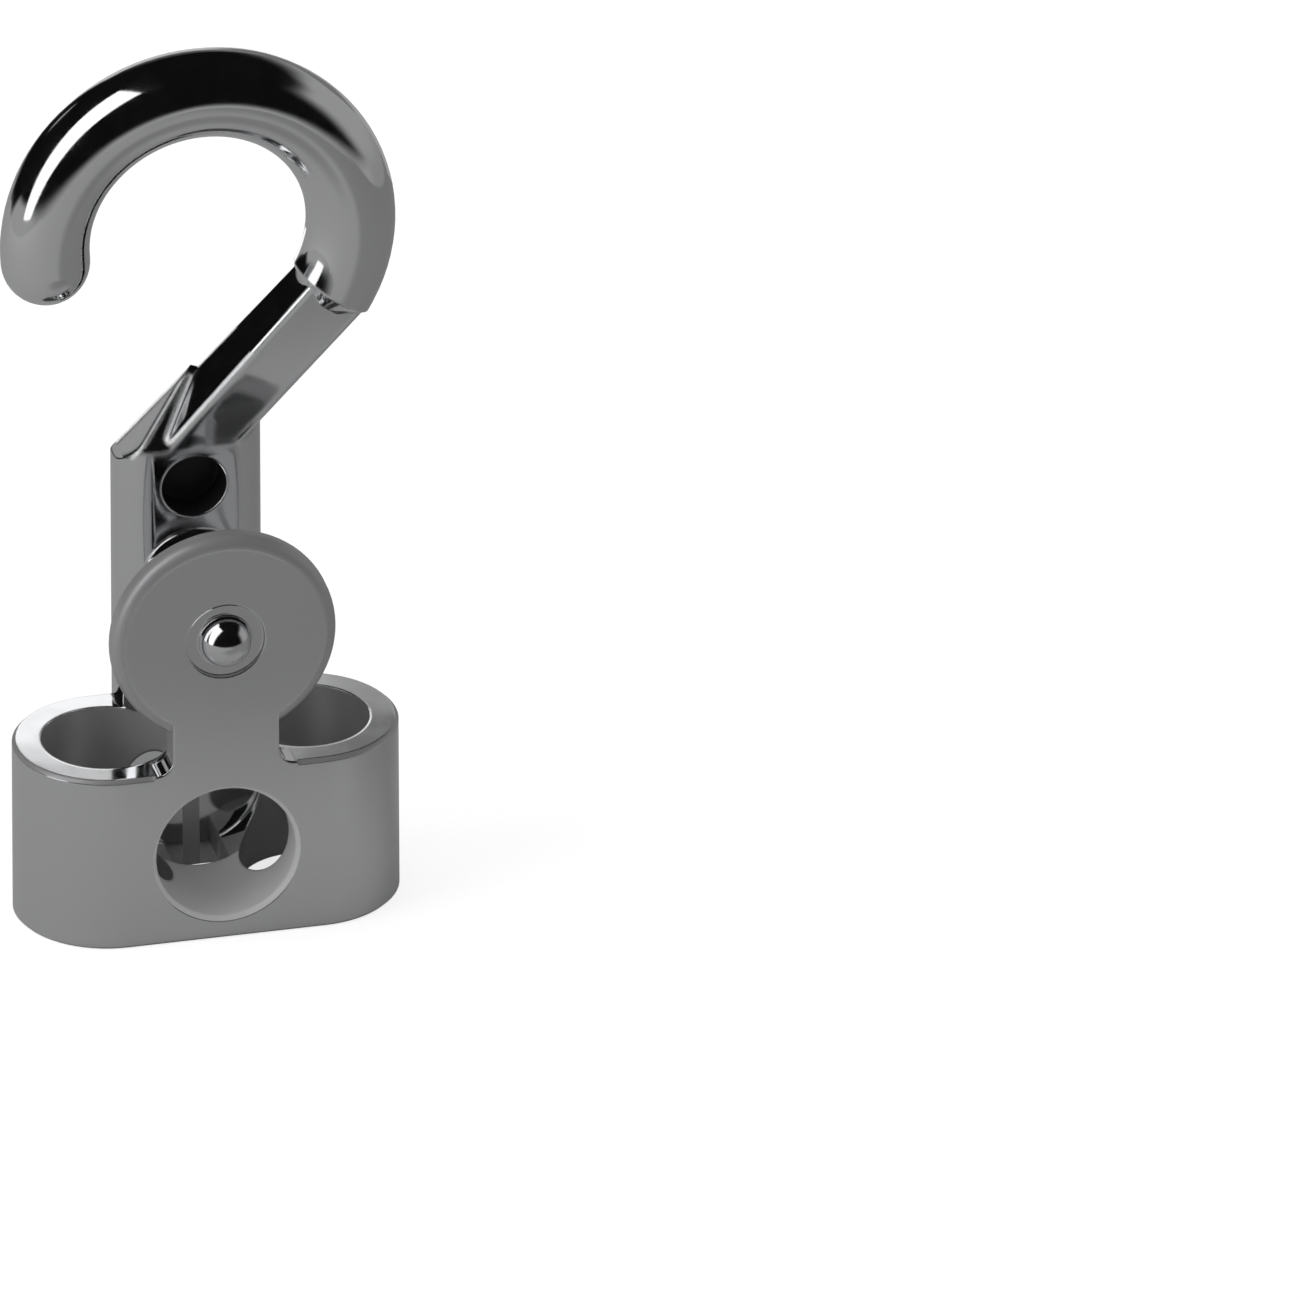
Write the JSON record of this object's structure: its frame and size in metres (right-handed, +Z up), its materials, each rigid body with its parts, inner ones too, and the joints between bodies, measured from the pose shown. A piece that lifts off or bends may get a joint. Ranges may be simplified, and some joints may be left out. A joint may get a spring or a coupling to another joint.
{
  "type": "rope hook",
  "caption": "Chrome die-cast rope hook: an oval sleeve with two rope channels, a hub behind a round cheek, and a leaning bar that curves into an open hook with a ball end.",
  "frame": {"origin": "middle of the sleeve's bottom face", "axes": "+Z up along the rope channels, +X across the sleeve towards the side where the bar meets the hook, +Y from the cheek to the shank"},
  "size_m": [0.035, 0.0184, 0.0817],
  "materials": {
    "chrome": "polished plating on die-cast zinc"
  },
  "bodies": {
    "root": {"hook": "chrome"}
  },
  "joints": []
}
